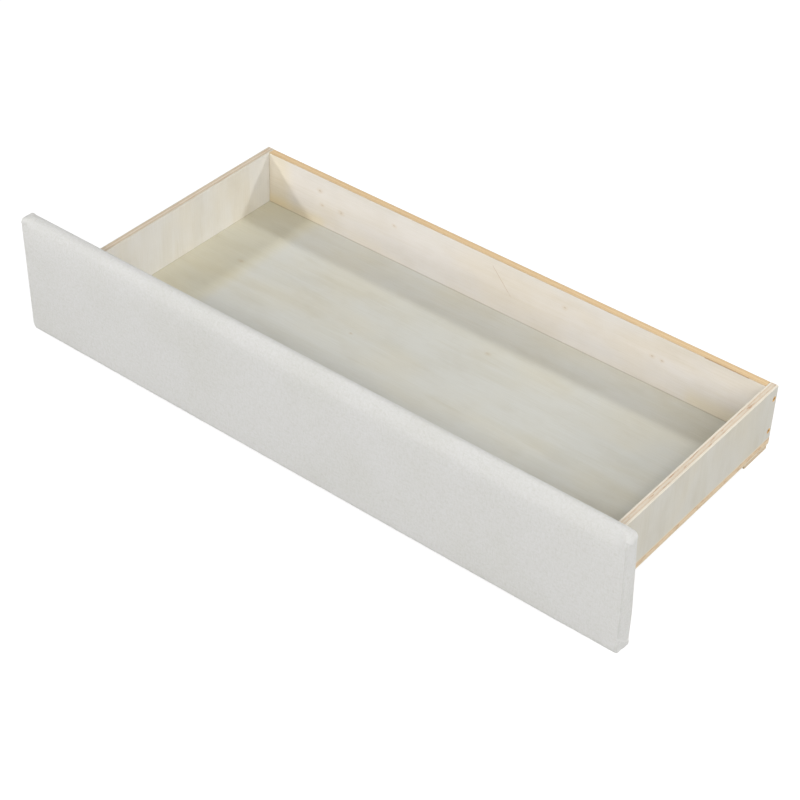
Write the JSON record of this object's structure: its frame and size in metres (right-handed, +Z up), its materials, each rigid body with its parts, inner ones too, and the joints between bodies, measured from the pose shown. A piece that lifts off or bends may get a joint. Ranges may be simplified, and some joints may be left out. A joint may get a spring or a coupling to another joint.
{
  "type": "daybed storage drawer",
  "caption": "Low open plywood storage drawer on fixed castors, with a wider padded fabric-covered front panel, rolled out from under a daybed by its front.",
  "frame": {"origin": "on the floor, at the middle of the drawer's width and depth", "axes": "+X along the front to the right as seen from the front, +Y from the front panel to the back, +Z up"},
  "size_m": [0.975, 0.4326, 0.2015],
  "materials": {
    "cover_fabric": "fine plain weave upholstery fabric, off-white to pale grey",
    "foam": "open-cell upholstery foam",
    "core_board": "raw particle board",
    "backing_cloth": "thin spunbonded cloth",
    "staple_wire": "galvanised wire",
    "plywood": "birch plywood under a thin white wash, with bare sanded edges",
    "batten_wood": "planed softwood",
    "wood_screw": "yellow zinc plated steel",
    "castor_screw": "bright zinc plated steel",
    "castor_steel": "pressed steel, zinc plated",
    "wheel_plastic": "moulded nylon, matt"
  },
  "bodies": {
    "drawer": {"front_board": "core_board", "front_foam": "foam", "front_cover": "cover_fabric", "front_backing_cloth": "backing_cloth", "front_staples": "staple_wire", "side_left": "plywood", "side_right": "plywood", "box_front": "plywood", "box_back": "plywood", "bottom_panel": "plywood", "front_batten": "batten_wood", "rear_batten": "batten_wood", "left_side_screws": "wood_screw", "right_side_screws": "wood_screw", "bottom_screws": "wood_screw", "front_fixing_screws": "wood_screw", "batten_screws": "wood_screw", "castor_screws": "castor_screw", "castor_bracket_front_left": "castor_steel", "castor_axle_front_left": "castor_steel", "castor_bracket_front_right": "castor_steel", "castor_axle_front_right": "castor_steel", "castor_bracket_rear_left": "castor_steel", "castor_axle_rear_left": "castor_steel", "castor_bracket_rear_right": "castor_steel", "castor_axle_rear_right": "castor_steel"},
    "front_left_wheel": {"castor_wheel_front_left": "wheel_plastic"},
    "front_right_wheel": {"castor_wheel_front_right": "wheel_plastic"},
    "rear_left_wheel": {"castor_wheel_rear_left": "wheel_plastic"},
    "rear_right_wheel": {"castor_wheel_rear_right": "wheel_plastic"}
  },
  "joints": [
    {"name": "front_left_wheel_roll", "type": "hinge", "parent": "drawer", "child": "front_left_wheel", "pos_m": [-0.358, -0.16525, 0.0125], "axis": [1, 0, 0], "continuous": true},
    {"name": "front_right_wheel_roll", "type": "hinge", "parent": "drawer", "child": "front_right_wheel", "pos_m": [0.358, -0.16525, 0.0125], "axis": [1, 0, 0], "continuous": true},
    {"name": "rear_left_wheel_roll", "type": "hinge", "parent": "drawer", "child": "rear_left_wheel", "pos_m": [-0.358, 0.18775, 0.0125], "axis": [1, 0, 0], "continuous": true},
    {"name": "rear_right_wheel_roll", "type": "hinge", "parent": "drawer", "child": "rear_right_wheel", "pos_m": [0.358, 0.18775, 0.0125], "axis": [1, 0, 0], "continuous": true}
  ]
}
